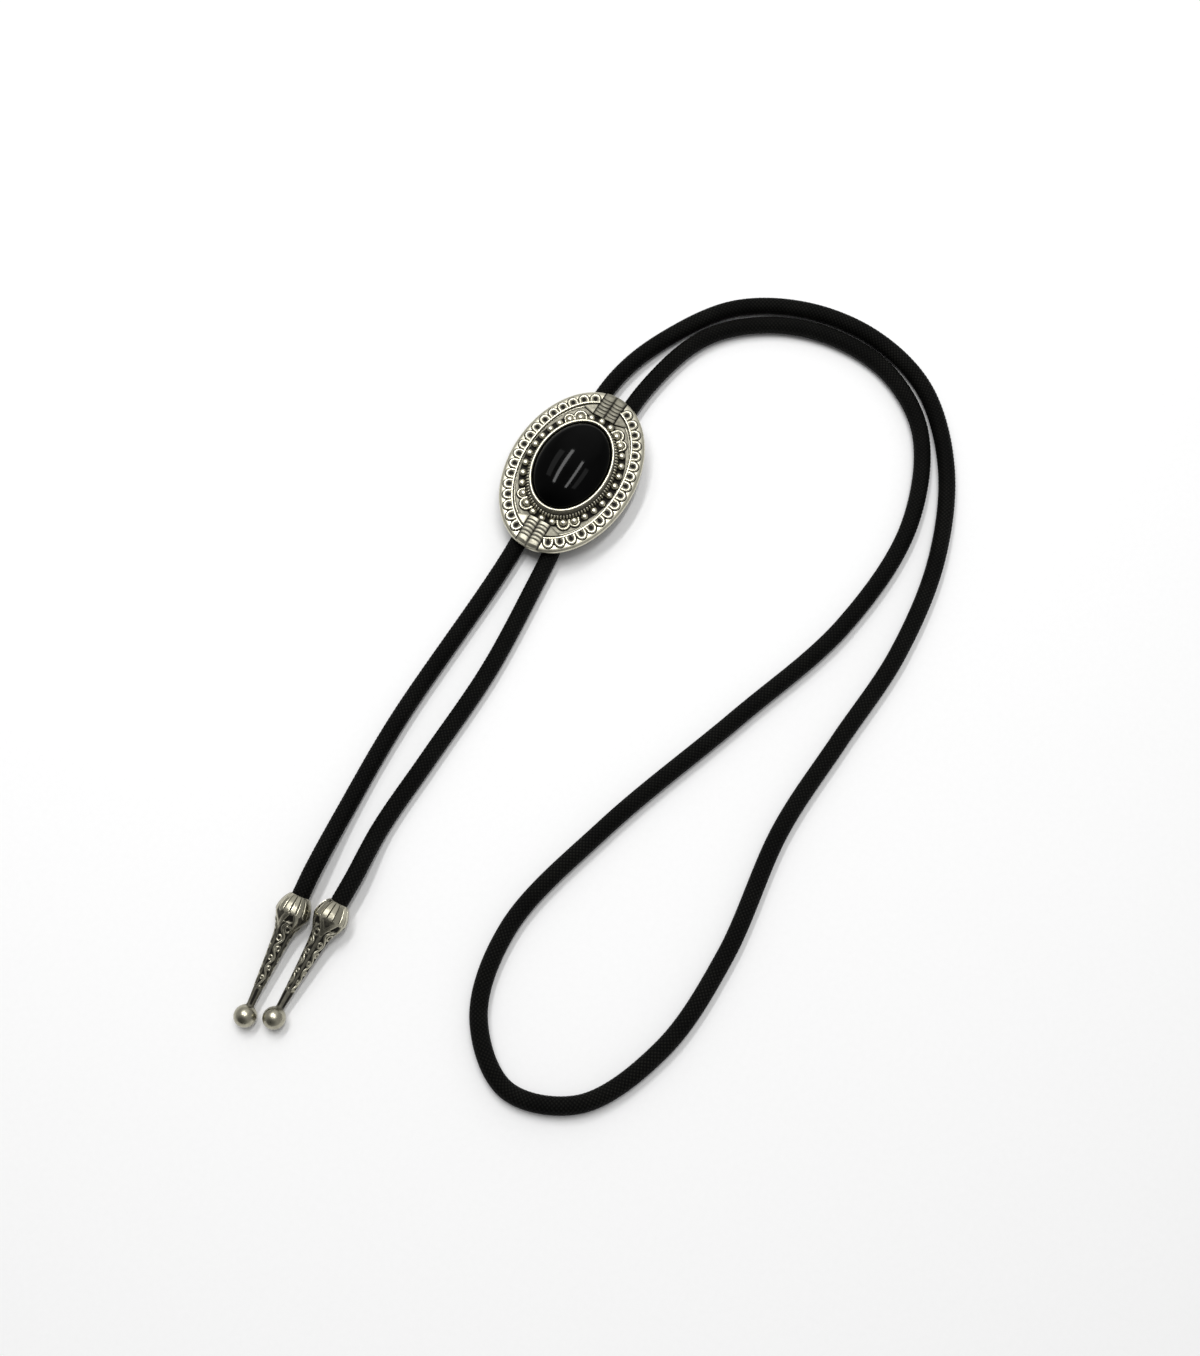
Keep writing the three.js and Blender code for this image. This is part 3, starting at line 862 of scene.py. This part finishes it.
def slide_base(sides=160):
    """The plate with its rim, ring, channel and the wall that holds the stone."""

    # Each band's oval and height, and its rows of growth, rise and shine,
    # from the back round the rim and in to the stone's seat
    bands = [
        (STONE_OVAL, BACK_HEIGHT, [(1.8, 0.0, 0.5)]),
        (OUTLINE, RIM_BOTTOM, [(-1.5, 0.0, 0.5), (-0.5, 0.0, 0.5)]),
        (OUTLINE, RIM_BOTTOM, [(-0.14, 0.12, 0.6), (-0.01, 0.42, 0.8)]),
        (OUTLINE, RIM_TOP, [(-0.01, -0.62, 0.9), (-0.12, -0.33, 1.0)]),
        (OUTLINE, RIM_TOP, [(-0.32, -0.12, 1.0), (-0.56, 0.0, 1.0)]),
        (SCALLOP_FOOT, FIELD_HEIGHT, [(2.4, -0.26, 1.0), (2.0, -0.2, 0.95), (1.0, -0.1, 0.9)]),
        (SCALLOP_FOOT, FIELD_HEIGHT, [(0.3, -0.03, 0.6), (0.06, 0.0, 0.1), (0.0, 0.05, 0.1)]),
        (SCALLOP_FOOT, FIELD_HEIGHT, [(-0.02, 0.42, 0.6), (-0.09, 0.6, 0.95), (-0.2, 0.66, 1.0)]),
        (SCALLOP_FOOT, FIELD_HEIGHT, [(-0.44, 0.66, 1.0), (-0.55, 0.6, 0.95), (-0.62, 0.42, 0.6)]),
    ]
    rows = [(grow(oval, by), z + rise, lit) for oval, z, band in bands for by, rise, lit in band]

    # The field's rows by their share of the way from the ring to the beads' channel
    field = [
        (0.0, 0.0, 0.0),
        (0.04, -0.02, 0.2),
        (0.12, -0.04, 0.35),
        (0.15, 0.08, 0.75),
        (0.2, 0.08, 0.75),
        (0.24, -0.08, 0.25),
        (0.5, -0.12, 0.45),
        (0.9, -0.12, 0.35),
    ]
    for share, rise, lit in field:
        rows.append((between(RING_INSIDE, BEAD_EDGE, share), FIELD_HEIGHT + rise, lit))
    bands = [
        (BEAD_EDGE, CHANNEL_FLOOR, [(0.0, 0.0, 0.1), (-0.15, -0.2, 0.0)]),
        (FOOT_OVAL, CHANNEL_FLOOR, [(0.02, -0.2, 0.0), (-0.06, 0.6, 0.0)]),
        (FOOT_OVAL, CHANNEL_FLOOR, [(-0.24, 1.0, 0.1), (-0.84, 1.2, 0.05)]),
        (STONE_OVAL, CHANNEL_FLOOR, [(0.9, 1.3, 0.2)]),
        # The outer side of the stone's wall is given a low shine: painted shade
        (STONE_OVAL, BEZEL_TOP, [(0.9, -0.5, 0.35), (0.85, -0.22, 0.35)]),
        (STONE_OVAL, BEZEL_TOP, [(0.7, -0.05, 0.55), (0.5, 0.0, 1.0), (0.2, -0.08, 0.95)]),
        (STONE_OVAL, BEZEL_TOP, [(0.07, -0.3, 0.5), (0.07, -0.6, 0.2), (0.3, -0.8, 0.0)]),
        (STONE_OVAL, STONE_SEAT, [(0.3, 0.0, 0.0)]),
    ]
    rows += [(grow(oval, by), z + rise, lit) for oval, z, band in bands for by, rise, lit in band]
    rings = [[(0.0, 0.0, BACK_HEIGHT, 0.5)]]
    for oval, height, shine in rows:
        ring = oval_ring(oval, height, shine, sides)

        # The ring stops at the end bars
        if RING_INSIDE[1] <= oval[1] <= SCALLOP_FOOT[1]:
            ring = [
                (x, y, min(z, FIELD_HEIGHT) if abs(x) < BAR_HALF_WIDTH else z, lit) for x, y, z, lit in ring
            ]
        rings.append(ring)
    rings.append([(0.0, 0.0, STONE_SEAT, 0.0)])
    return skin("slide_base", rings, sharp=48)


def end_bar(side, painted_light):
    """A wrapped bar of two lobes with wavy ridges between two plain ends."""
    start = 17.0
    first_ridge = 18.25
    ridge_pitch = 1.1
    last_ridge = first_ridge + 4 * ridge_pitch
    fade = 0.15
    lobe_height = 0.42
    groove_depth = 0.26
    wrap_lean = 0.36
    outline = 0.22
    columns = 36
    rows = 96
    rings = []
    for row in range(rows + 1):
        share = row / rows
        end_fall = smooth_step(0.86, 1.0, share)
        ring = []
        for column in range(columns + 1):
            across = 2 * column / columns - 1
            rim = OUTLINE[1] * math.sqrt(1 - (across * BAR_HALF_WIDTH / OUTLINE[0]) ** 2)
            along = start + (rim - outline - start) * share
            base = FIELD_HEIGHT + 0.7 - 0.85 * share - 0.3 * end_fall
            lobe = abs(math.sin(math.pi * across)) ** 0.55
            wrap = along + wrap_lean * lobe
            ridged = smooth_step(first_ridge - fade, first_ridge, wrap)
            ridged *= smooth_step(last_ridge + fade, last_ridge, wrap)
            groove = ridged * (1 - abs(math.sin(math.pi * (wrap - first_ridge) / ridge_pitch)) ** 0.6)
            height = base + lobe_height * lobe * (1 - 0.7 * end_fall) - groove_depth * groove
            # Painted light and shade: the whole bar is made lighter or darker by its end of the slide
            shine = 0.16 + 0.46 * smooth_step(0.25, 0.7, lobe)
            shine *= painted_light * (0.3 + 0.7 * smooth_step(0.4, 0.8, 1 - groove))
            ring.append((side * across * BAR_HALF_WIDTH, side * along, height, shine))
        plate = FIELD_HEIGHT - 0.1 * max(0.0, along - SCALLOP_FOOT[1]) - 0.12 * end_fall
        bottom = plate - 0.6
        for way in (1, -1):
            near_edge = side * way * (BAR_HALF_WIDTH + 0.02)
            far_edge = side * way * (BAR_HALF_WIDTH + outline)
            edge = [
                (near_edge, side * along, plate + 0.03, 0.0),
                (far_edge, side * along, plate + 0.03, 0.05),
                (far_edge, side * along, bottom, 0.0),
            ]
            ring.extend(edge[::way])
        rings.append(ring)
    return skin("end_bar", rings, sharp=60)


def side_plate(across_side, along_side, painted_light):
    """A plain three-sided plate beside an end bar, inside the ring, with a dark line round it."""
    near = 3.35
    reach = 6.7
    inner = 17.05
    steps = 8

    def ring_edge(x):
        """How far along the slide the plate's curved side lies."""
        return RING_INSIDE[1] * math.sqrt(1 - (x / RING_INSIDE[0]) ** 2) - 0.35

    outline = [(near, inner)]
    for i in range(steps + 1):
        x = near + (reach - near) * i / steps
        outline.append((x, ring_edge(x)))
    middle = Vector((sum(x for x, _ in outline), sum(y for _, y in outline))) / len(outline)

    # Inset as a share of the plate, height and shine; the shine is scaled by painted light and shade, which
    # differs from plate to plate
    levels = [
        (-0.12, -0.6, 0.0),
        (-0.12, 0.0, 0.0),
        (-0.01, 0.0, 0.0),
        (0.0, 0.2, 0.7 * painted_light),
        (0.06, 0.27, painted_light),
        (0.5, 0.3, painted_light),
    ]
    rings = []
    for inset, height, shine in levels:
        ring = []
        for x, y in outline:
            point = Vector((x, y)).lerp(middle, inset)
            tilt = 0.09 * (reach - point.x) if inset >= 0 else 0.0
            ring.append(
                (point.x * across_side, point.y * along_side, FIELD_HEIGHT + height + tilt, shine)
            )
        rings.append(ring)
    return skin("side_plate", rings, sharp=40)


def on_oval(mesh, oval, share, height, material):
    """Set a casting on an oval, at a share of its length from the top end, with its +Y outwards."""
    line = [Vector(point) for point in oval_line(oval)]
    left = (share % 1.0) * line_length(line)
    step = 1
    while left > (line[step] - line[step - 1]).length:
        left -= (line[step] - line[step - 1]).length
        step += 1
    run = line[step] - line[step - 1]
    place = line[step - 1] + run.normalized() * left
    turn = Matrix.Rotation(math.atan2(run.y, run.x), 4, "Z")
    copy = mesh.copy()
    copy.transform(Matrix.Translation((place.x, place.y, height * MM)) @ turn)
    copy.materials.append(material)
    return new_object("casting", copy)


def casting_row(tree, mesh, oval, height, count, start, end, material):
    """Set castings in an even row on a stretch of an oval line."""
    mesh.transform(Matrix.Translation((0.0, 0.0, height * MM)))
    mesh.materials.append(material)
    casting = new_object("row_casting", mesh)
    row = build_with(
        polyline("row", oval_line(oval)),
        tree,
        {"Casting": casting, "Count": count, "Start": start, "End": end, "Material": material},
    )
    bpy.data.objects.remove(casting)
    return row


# The tips' casting, drawn along -Y from its mouth in millimetres


def scroll_relief(across, along, half_width):
    """Height from 0 to 1 of a winding stem with a curl in each bend."""
    bend = 2.6
    turn = math.pi * along / bend
    sway = 0.5 * half_width
    slope = sway * math.pi / bend * math.cos(turn)
    from_stem = abs(across - sway * math.sin(turn)) / math.hypot(1.0, slope)
    stem = smooth_step(0.42, 0.2, from_stem)
    cell = math.floor(along / bend)
    way = -1 if cell % 2 else 1
    out = math.hypot(across + 0.4 * way * half_width, along - bend * (cell + 0.55))
    curl = smooth_step(0.34, 0.16, abs(out - 0.44 * half_width))
    return max(stem, curl)


def tip_surface(place, turn, flutes, panels, flute_depth):
    """The tip's radius and shine at a place along it and a turn round it."""
    radius = table_value(TIP_PROFILE, place)
    collar_edge = 4.55
    zigzag = 0.65
    bell_start = 4.6
    bell_length = 5.2
    panels_start = 7.3
    panels_end = 24.2
    neck_end = 29.4

    # Flat flutes round the collar, with narrow creases and a zigzag lower edge
    flute_turn = (turn * flutes / (2 * math.pi) + 0.5) % 1.0 - 0.5
    lobe = 1 - 2 * abs(flute_turn)
    edge = collar_edge + zigzag * lobe
    collar = smooth_step(edge + 0.1, edge - 0.1, place)
    flat = math.cos(math.pi / flutes) / math.cos(2 * math.pi * flute_turn / flutes)
    crease = smooth_step(0.26, 0.02, lobe)
    fluted = radius * (1 + (flat - 1) * smooth_step(0.0, 0.6, place))
    fluted -= flute_depth * crease * smooth_step(0.0, 0.8, place)

    # Petals of the bell reach down over the plain ribs, between the relief panels
    panel_turn = (turn * panels / (2 * math.pi)) % 1.0 - 0.5
    from_rib = 1 - 2 * abs(panel_turn)
    fall = min(1.0, max(0.0, (place - bell_start) / bell_length))
    petal = smooth_step(-0.06, 0.06, (1 - fall) ** 0.8 - 0.08 - from_rib)
    hollow = smooth_step(0.0, 0.15, 0.62 * (1 - 1.55 * fall) - from_rib)
    bell = radius - 0.12 - 0.1 * hollow

    # Plain ribs and panels of scrolls down the shaft
    rib = smooth_step(0.3, 0.22, from_rib)
    half_width = radius * math.pi / panels
    shaft = smooth_step(panels_end + 1.0, panels_end, place)
    in_panel = shaft * smooth_step(0.26, 0.38, from_rib)
    in_panel *= smooth_step(panels_start - 1.0, panels_start, place)
    scroll = scroll_relief(panel_turn * 2 * half_width, place - 7.4, 0.8 * half_width) * in_panel
    depth = 0.24 + 0.3 * smooth_step(9.0, 6.6, place) * smooth_step(4.8, 5.6, place)
    carved = max(0.8 * rib, scroll)
    groove = (1 - shaft) * smooth_step(neck_end, neck_end - 0.8, place) * smooth_step(0.45, 0.75, from_rib)
    plain = radius - depth * shaft * (1 - carved) - 0.16 * groove

    lit_petal = 0.8 - 0.65 * hollow
    lit_shaft = shaft * max(0.22 * rib, 0.86 * scroll) + (1 - shaft) * 0.3 * (1 - groove)
    below = petal * bell + (1 - petal) * plain
    lit = petal * lit_petal + (1 - petal) * lit_shaft
    shine = collar * (1 - crease) + (1 - collar) * lit
    return collar * fluted + (1 - collar) * below, shine


def tip_mesh(settings, roll):
    """A cast tip along -Y from its mouth: fluted collar, bell of petals, relief shaft, neck and ball."""
    flutes, panels = settings.flutes, settings.panels
    flute_depth = settings.flute_depth / MM
    sides = 192
    steps = 150
    ball_rows = 40
    ball_shine = 0.74
    neck = TIP_BALL_PLACE - math.sqrt(TIP_BALL_RADIUS**2 - TIP_NECK_RADIUS**2)

    # The cord's hole: place, radius and shine
    rings = [[(0.0, -2.4, 0.0, 0.0)]]
    for place, radius, shine in ((2.4, 2.2, 0.2), (0.25, 2.28, 0.7), (0.05, 2.38, 0.7)):
        rings.append([round_point(place, radius, i, sides, shine) for i in range(sides)])
    for step in range(steps + 1):
        place = neck * step / steps
        ring = []
        for i in range(sides):
            turn = 2 * math.pi * i / sides - roll
            radius, shine = tip_surface(place, turn, flutes, panels, flute_depth)
            ring.append(round_point(place, radius, i, sides, shine))
        rings.append(ring)
    first = math.asin(TIP_NECK_RADIUS / TIP_BALL_RADIUS)
    for row in range(1, ball_rows):
        turn = first + (math.pi - first) * row / ball_rows
        place = TIP_BALL_PLACE - TIP_BALL_RADIUS * math.cos(turn)
        radius = TIP_BALL_RADIUS * math.sin(turn)
        shine = ball_shine * smooth_step(-0.2, 0.12, row / ball_rows)
        rings.append([round_point(place, radius, i, sides, shine) for i in range(sides)])
    rings.append([(0.0, -TIP_BALL_PLACE - TIP_BALL_RADIUS, 0.0, ball_shine)])
    return skin("tip", rings, sharp=60)


def round_point(place, radius, i, sides, shine):
    """A point round the tip's axis."""
    turn = 2 * math.pi * i / sides
    return (radius * math.cos(turn), -place, radius * math.sin(turn), shine)


# The stage


def room_world(room_light, window_light):
    """Even light from all round, darker from the near side, with a brighter window in the far wall."""
    world = bpy.data.worlds.new("room")
    world.use_nodes = True
    tree = world.node_tree
    background = next(node for node in tree.nodes if node.type == "BACKGROUND")
    background.inputs["Color"].default_value = (1.0, 1.0, 1.0, 1.0)
    way = add_node(tree, "ShaderNodeTexCoord").outputs["Generated"]
    near, far = [
        add_node(tree, "ShaderNodeVectorMath", {"operation": "DOT_PRODUCT"}, {0: way, 1: aim})
        for aim in (NEAR_SIDE, WINDOW)
    ]
    even = spread(tree, near.outputs["Value"], 0.55, 0.92, room_light, 0.2 * room_light)
    window = spread(tree, far.outputs["Value"], 0.8, 0.97, 0.0, window_light)
    tree.links.new(calculate(tree, "ADD", even, window), background.inputs["Strength"])
    return world


def photo_camera(lens):
    """A camera where the photo's camera was."""
    view = bpy.data.cameras.new("camera")
    view.lens = lens
    view.sensor_width = 36.0
    view.clip_start = 0.01
    view.clip_end = 10.0
    camera = bpy.data.objects.new("camera", view)
    camera.location = Vector(CAMERA_PLACE) * MM
    aim = Vector(CAMERA_TARGET) * MM - camera.location
    camera.rotation_euler = aim.to_track_quat("-Z", "Y").to_euler()
    return camera


def add_light(scene, name, place, size, brightness):
    """A soft light aimed at the slide, with its second side along the slide's length."""
    lamp = bpy.data.lights.new(name, "AREA")
    lamp.shape = "RECTANGLE"
    lamp.size, lamp.size_y = size
    lamp.energy = brightness * math.pi * size[0] * size[1]
    away = place.normalized()
    across = Vector((0.0, 1.0, 0.0)).cross(away).normalized()
    turn = Matrix((across, away.cross(across), away)).transposed().to_4x4()
    light = bpy.data.objects.new(name, lamp)
    light.matrix_world = Matrix.Translation(place) @ turn
    scene.collection.objects.link(light)


# Operators


class BOLO_OT_stage(bpy.types.Operator):
    """Set up the floor, the soft lights and the camera"""

    bl_idname = "bolo.stage"
    bl_label = "Stage"

    def execute(self, context):
        scene = context.scene
        settings = scene.bolo_stage
        corners = [(-1, -1), (1, -1), (1, 1), (-1, 1)]
        mesh = bpy.data.meshes.new("floor")
        mesh.from_pydata([(FLOOR_REACH * x, FLOOR_REACH * y, 0.0) for x, y in corners], [], [(0, 1, 2, 3)])
        mesh.materials.append(pale_floor("pale_floor", tuple(settings.floor)))
        new_object("floor", mesh)

        scene.world = room_world(settings.room_light, settings.window_light)
        for name, place, size, setting in LIGHTS:
            add_light(scene, name, Vector(place), size, getattr(settings, setting))
        scene.camera = photo_camera(settings.lens)
        scene.collection.objects.link(scene.camera)
        scene.view_settings.view_transform = "Standard"
        return {"FINISHED"}


class BOLO_OT_cord(bpy.types.Operator):
    """Braid the cord along its route"""

    bl_idname = "bolo.cord"
    bl_label = "Cord"

    def execute(self, context):
        settings = context.scene.bolo_cord
        route = [Vector(point) * MM for point in CORD_ROUTE]
        route_step = 0.6 * MM
        into_mouth = 1.6 * MM
        path = smooth_route(route, route_step)
        path.insert(0, path[0] + (path[0] - path[1]).normalized() * into_mouth)
        path.append(path[-1] + (path[-1] - path[-2]).normalized() * into_mouth)
        material = braided_yarn("braided_yarn", tuple(settings.yarn), tuple(settings.lit_yarn))
        cord = build_with(
            polyline("cord_braid", path),
            braid_tree(),
            {
                "Diameter": settings.diameter,
                "Strands": settings.strands,
                "Pick": settings.pick,
                "Relief": settings.relief,
                "Material": material,
            },
        )
        work = bmesh.new()
        work.from_mesh(cord.data)
        bmesh.ops.holes_fill(work, edges=[edge for edge in work.edges if edge.is_boundary])
        bmesh.ops.recalc_face_normals(work, faces=work.faces)
        work.to_mesh(cord.data)
        work.free()
        cord.data.shade_smooth()
        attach(cord, BODY)
        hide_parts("cord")
        return {"FINISHED"}


class BOLO_OT_slide(bpy.types.Operator):
    """Cast the slide with its rim, scallops, ring, beads, arches, end bars and stone wall"""

    bl_idname = "bolo.slide"
    bl_label = "Slide"

    def execute(self, context):
        settings = context.scene.bolo_slide
        metal = antiqued_metal(
            "antiqued_silver", tuple(settings.bright), tuple(settings.dark), polished_roughness=0.3
        )
        tree = casting_row_tree()
        base = slide_base()
        base.materials.append(metal)
        pieces = [new_object("slide_base", base)]

        wire = settings.wire / MM
        around = line_length([Vector(point) for point in oval_line(SCALLOP_FOOT)]) / MM
        bar_share = (BAR_HALF_WIDTH + 0.1) / around
        for side in (0.0, 0.5):
            scallop = wire_arch(
                "scallop", half_width=1.44, depth=2.3, height=0.5, wire=wire, hole=0.6, foot=0.3, slope=0.1
            )
            pieces.append(
                casting_row(
                    tree, scallop, SCALLOP_FOOT, FIELD_HEIGHT, settings.scallops,
                    side + bar_share, side + 0.5 - bar_share, metal,
                )
            )
        bead = bead_dome("bead", settings.bead_radius / MM)
        half_step = 0.5 / settings.beads
        pieces.append(
            casting_row(
                tree, bead, BEAD_OVAL, FIELD_HEIGHT + 0.3, settings.beads, -half_step, 1 - half_step, metal
            )
        )
        grain = milled_grain("grain", 0.72)
        pieces.append(
            casting_row(tree, grain, FOOT_OVAL, CHANNEL_FLOOR, settings.grains, 0.0, 1.0, metal)
        )
        large_arch = wire_arch(
            "large_arch", half_width=1.85, depth=2.1, height=0.5, wire=0.48, hole=1.1, leg=-0.8
        )
        small_arch = wire_arch(
            "small_arch", half_width=1.5, depth=1.75, height=0.45, wire=0.45, hole=0.95, leg=-0.7
        )

        # The large arches stand two beads from the slide's ends and the small ones three
        for away, arch in ((2, large_arch), (3, small_arch)):
            for middle in (0, settings.beads / 2):
                for place in (middle - away, middle + away):
                    pieces.append(on_oval(arch, BEAD_OVAL, place / settings.beads, FIELD_HEIGHT, metal))
        plain = [end_bar(*bar) for bar in BAR_PAINTED_LIGHT] + [side_plate(*plate) for plate in PLATE_PAINTED_LIGHT]
        for mesh in plain:
            mesh.materials.append(metal)
            pieces.append(new_object("plain_casting", mesh))
        slide = join("slide_casting", pieces)
        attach(slide, BODY)
        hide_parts("slide_plate")
        return {"FINISHED"}


class BOLO_OT_stone(bpy.types.Operator):
    """Cut and polish the domed stone"""

    bl_idname = "bolo.stone"
    bl_label = "Stone"

    def execute(self, context):
        settings = context.scene.bolo_stone
        oval = (settings.width / MM / 2, settings.length / MM / 2)
        sides = 128
        dome_rows = 32
        rows = [
            (grow(oval, -FIT_GAP), STONE_BOTTOM),
            (grow(oval, -0.08), STONE_BOTTOM + 0.1),
            (oval, STONE_BOTTOM + 0.3),
        ]
        for i in range(dome_rows):
            turn = math.pi / 2 * i / dome_rows
            share = math.cos(turn)
            rise = (STONE_TOP - STONE_GIRDLE) * math.sin(turn)
            rows.append(((oval[0] * share, oval[1] * share), STONE_GIRDLE + rise))
        rings = [[(0.0, 0.0, STONE_BOTTOM, 1.0)]]
        rings += [oval_ring(row, height, 1.0, sides) for row, height in rows]
        rings.append([(0.0, 0.0, STONE_TOP, 1.0)])
        mesh = skin("stone_dome", rings, sharp=50)
        mesh.materials.append(polished_stone("polished_black_stone", tuple(settings.colour)))
        stone = new_object("stone_dome", mesh)
        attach(stone, BODY)
        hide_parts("stone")
        return {"FINISHED"}


class BOLO_OT_clasp(bpy.types.Operator):
    """Finish the clasp behind the slide in satin metal"""

    bl_idname = "bolo.clasp"
    bl_label = "Clasp"

    def execute(self, context):
        settings = context.scene.bolo_clasp
        clasp = bpy.data.objects["clasp"]
        clasp.data.materials.clear()
        clasp.data.materials.append(satin_metal("satin_metal", tuple(settings.colour)))
        return {"FINISHED"}


class BOLO_OT_tips(bpy.types.Operator):
    """Cast the two tips and set them on the cord's ends"""

    bl_idname = "bolo.tips"
    bl_label = "Tips"

    def execute(self, context):
        settings = context.scene.bolo_tip
        metal = antiqued_metal(
            "dark_antiqued_metal", tuple(settings.bright), tuple(settings.dark), polished_roughness=0.18
        )

        # Each tip's node, the cord's end and the point before it, and the turn round its axis
        ends = [
            ("tip_left", CORD_ROUTE[0], CORD_ROUTE[1], math.radians(32)),
            ("tip_right", CORD_ROUTE[-1], CORD_ROUTE[-2], math.radians(-12)),
        ]
        for node, end, before, roll in ends:
            run = Vector((end[0] - before[0], end[1] - before[1])).normalized()
            place = Vector((end[0] + run.x * FIT_GAP, end[1] + run.y * FIT_GAP, MOUTH_HEIGHT)) * MM
            heading = Matrix.Rotation(math.atan2(run.x, -run.y), 4, "Z")
            mesh = tip_mesh(settings, roll)
            mesh.transform(Matrix.Translation(place) @ heading @ Matrix.Rotation(TIP_DIP, 4, "X"))
            mesh.materials.append(metal)
            tip = new_object(node + "_casting", mesh)
            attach(tip, BODY)
            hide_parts(node)
        return {"FINISHED"}


class BOLO_PT_panel(bpy.types.Panel):
    """The bolo tie's settings and steps"""

    bl_idname = "BOLO_PT_panel"
    bl_label = "Bolo tie"
    bl_space_type = "VIEW_3D"
    bl_region_type = "UI"
    bl_category = "Bolo tie"

    def draw(self, context):
        for label, name, step in STEPS:
            box = self.layout.box()
            box.label(text=label)
            group = getattr(context.scene, name)
            for key in group.__annotations__:
                box.prop(group, key)
            box.operator(step)


# Each step's label, settings and operator
STEPS = [
    ("Stage", "bolo_stage", "bolo.stage"),
    ("Cord", "bolo_cord", "bolo.cord"),
    ("Slide", "bolo_slide", "bolo.slide"),
    ("Stone", "bolo_stone", "bolo.stone"),
    ("Clasp", "bolo_clasp", "bolo.clasp"),
    ("Tips", "bolo_tip", "bolo.tips"),
]

SETTINGS = [
    ("bolo_stage", StageSettings),
    ("bolo_cord", CordSettings),
    ("bolo_slide", SlideSettings),
    ("bolo_stone", StoneSettings),
    ("bolo_clasp", ClaspSettings),
    ("bolo_tip", TipSettings),
]

OPERATORS = [BOLO_OT_stage, BOLO_OT_cord, BOLO_OT_slide, BOLO_OT_stone, BOLO_OT_clasp, BOLO_OT_tips]


def register():
    """Register the settings, the steps and the panel."""
    for name, group in SETTINGS:
        bpy.utils.register_class(group)
        setattr(bpy.types.Scene, name, PointerProperty(type=group))
    for operator in OPERATORS:
        bpy.utils.register_class(operator)
    bpy.utils.register_class(BOLO_PT_panel)


def unregister():
    """Take back all that register added."""
    bpy.utils.unregister_class(BOLO_PT_panel)
    for operator in reversed(OPERATORS):
        bpy.utils.unregister_class(operator)
    for name, group in reversed(SETTINGS):
        delattr(bpy.types.Scene, name)
        bpy.utils.unregister_class(group)


def main():
    """Build everything."""
    register()
    bpy.ops.bolo.stage()
    bpy.ops.bolo.cord()
    bpy.ops.bolo.slide()
    bpy.ops.bolo.stone()
    bpy.ops.bolo.clasp()
    bpy.ops.bolo.tips()


if __name__ == "__main__":
    main()
